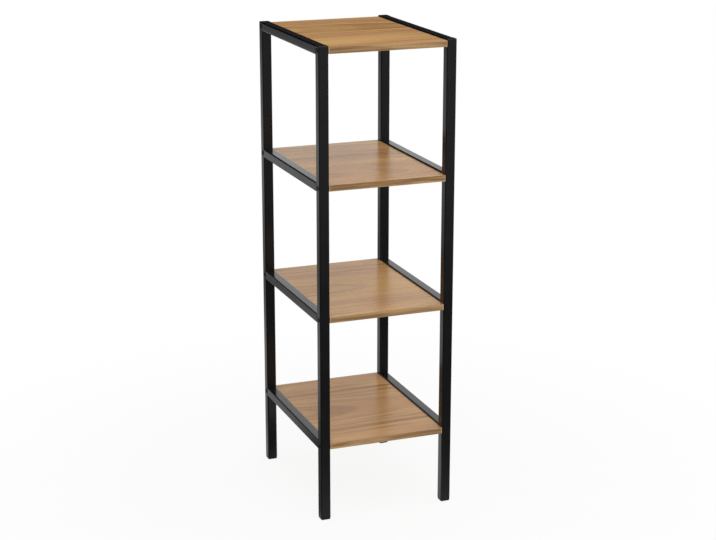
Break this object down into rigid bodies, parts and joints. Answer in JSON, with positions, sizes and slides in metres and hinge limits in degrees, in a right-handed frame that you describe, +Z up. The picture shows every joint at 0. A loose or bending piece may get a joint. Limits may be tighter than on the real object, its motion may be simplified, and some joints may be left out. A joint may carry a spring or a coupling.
{
  "type": "shelving unit",
  "caption": "Tall narrow open shelving unit: two black rectangular-tube ladder side frames joined by oak-look laminate boards bolted between the posts, on short legs.",
  "frame": {"origin": "on the floor under the middle of the unit, midway between the side frames and between the front and rear posts", "axes": "+X to the right across the unit, +Y from front to back, +Z up along the posts"},
  "size_m": [0.2796, 0.356, 0.94],
  "materials": {
    "frame_paint": "satin black powder coat",
    "board_laminate": "satin oak-look laminate on particle board, grain across the unit",
    "edge_strip": "satin oak-look edging",
    "black_bolt": "black oxide button-head bolt",
    "insert_metal": "zinc plated threaded insert",
    "foot_plastic": "matte black polyethylene plug"
  },
  "bodies": {
    "root": {"left_front_post": "frame_paint", "left_front_top_plate": "frame_paint", "left_front_foot": "foot_plastic", "left_rear_post": "frame_paint", "left_rear_top_plate": "frame_paint", "left_rear_foot": "foot_plastic", "left_bottom_rail": "frame_paint", "left_middle_rail": "frame_paint", "left_upper_rail": "frame_paint", "left_top_rail": "frame_paint", "left_frame_welds": "frame_paint", "right_front_post": "frame_paint", "right_front_top_plate": "frame_paint", "right_front_foot": "foot_plastic", "right_rear_post": "frame_paint", "right_rear_top_plate": "frame_paint", "right_rear_foot": "foot_plastic", "right_bottom_rail": "frame_paint", "right_middle_rail": "frame_paint", "right_upper_rail": "frame_paint", "right_top_rail": "frame_paint", "right_frame_welds": "frame_paint", "bottom_shelf_board": "board_laminate", "bottom_shelf_front_edge": "edge_strip", "bottom_shelf_rear_edge": "edge_strip", "bottom_shelf_bolts": "black_bolt", "bottom_shelf_inserts": "insert_metal", "middle_shelf_board": "board_laminate", "middle_shelf_front_edge": "edge_strip", "middle_shelf_rear_edge": "edge_strip", "middle_shelf_bolts": "black_bolt", "middle_shelf_inserts": "insert_metal", "upper_shelf_board": "board_laminate", "upper_shelf_front_edge": "edge_strip", "upper_shelf_rear_edge": "edge_strip", "upper_shelf_bolts": "black_bolt", "upper_shelf_inserts": "insert_metal", "top_shelf_board": "board_laminate", "top_shelf_front_edge": "edge_strip", "top_shelf_rear_edge": "edge_strip", "top_shelf_bolts": "black_bolt", "top_shelf_inserts": "insert_metal"}
  },
  "joints": []
}
